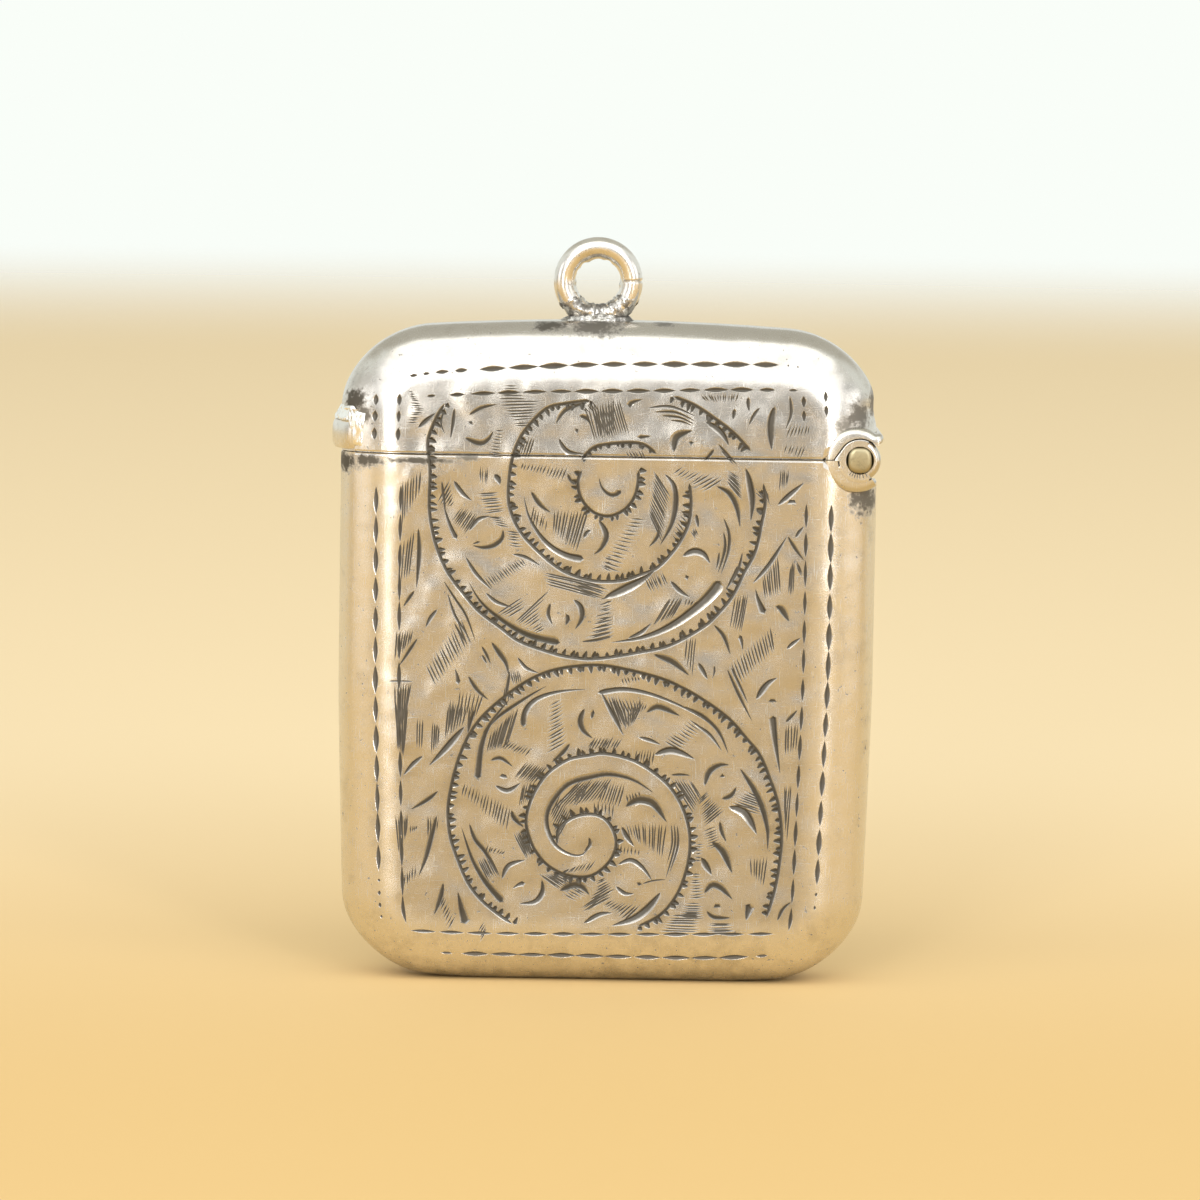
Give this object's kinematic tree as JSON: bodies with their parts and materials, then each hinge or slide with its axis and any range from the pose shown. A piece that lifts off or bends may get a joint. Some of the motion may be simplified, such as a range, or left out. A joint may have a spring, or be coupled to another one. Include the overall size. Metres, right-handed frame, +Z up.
{
  "type": "vesta case",
  "caption": "Flat rounded pocket match safe of engraved silver sheet with a side-hinged lid, thumb piece, fixed chain ring and ribbed striker in its base.",
  "frame": {"origin": "centre of the flat base, midway between the front and back panels", "axes": "+Z up from the base to the ring, -Y out of the engraved front panel, +X towards the hinge"},
  "size_m": [0.037, 0.0084, 0.0501],
  "materials": {
    "silver": "worn polished silver with dark tarnish in the engraving",
    "brass": "dull, peened pin ends",
    "solder": "grey, lumpy repair solder"
  },
  "bodies": {
    "body": {"body_front_shell": "silver", "body_back_shell": "silver", "striker_plate": "silver", "mouth_collar": "silver", "body_hinge_bearer": "silver", "body_knuckle_front": "silver", "body_knuckle_middle": "silver", "body_knuckle_rear": "silver", "hinge_pin": "brass"},
    "lid": {"lid_front_shell": "silver", "lid_back_shell": "silver", "lid_hinge_bearer": "silver", "lid_knuckle_front": "silver", "lid_knuckle_rear": "silver", "thumb_piece": "silver", "suspension_ring": "silver", "ring_solder": "solder"}
  },
  "joints": [
    {"name": "lid_hinge", "type": "hinge", "parent": "body", "child": "lid", "pos_m": [0.01675, 0, 0.0356], "axis": [0, 1, 0], "range_deg": [0, 90]}
  ]
}
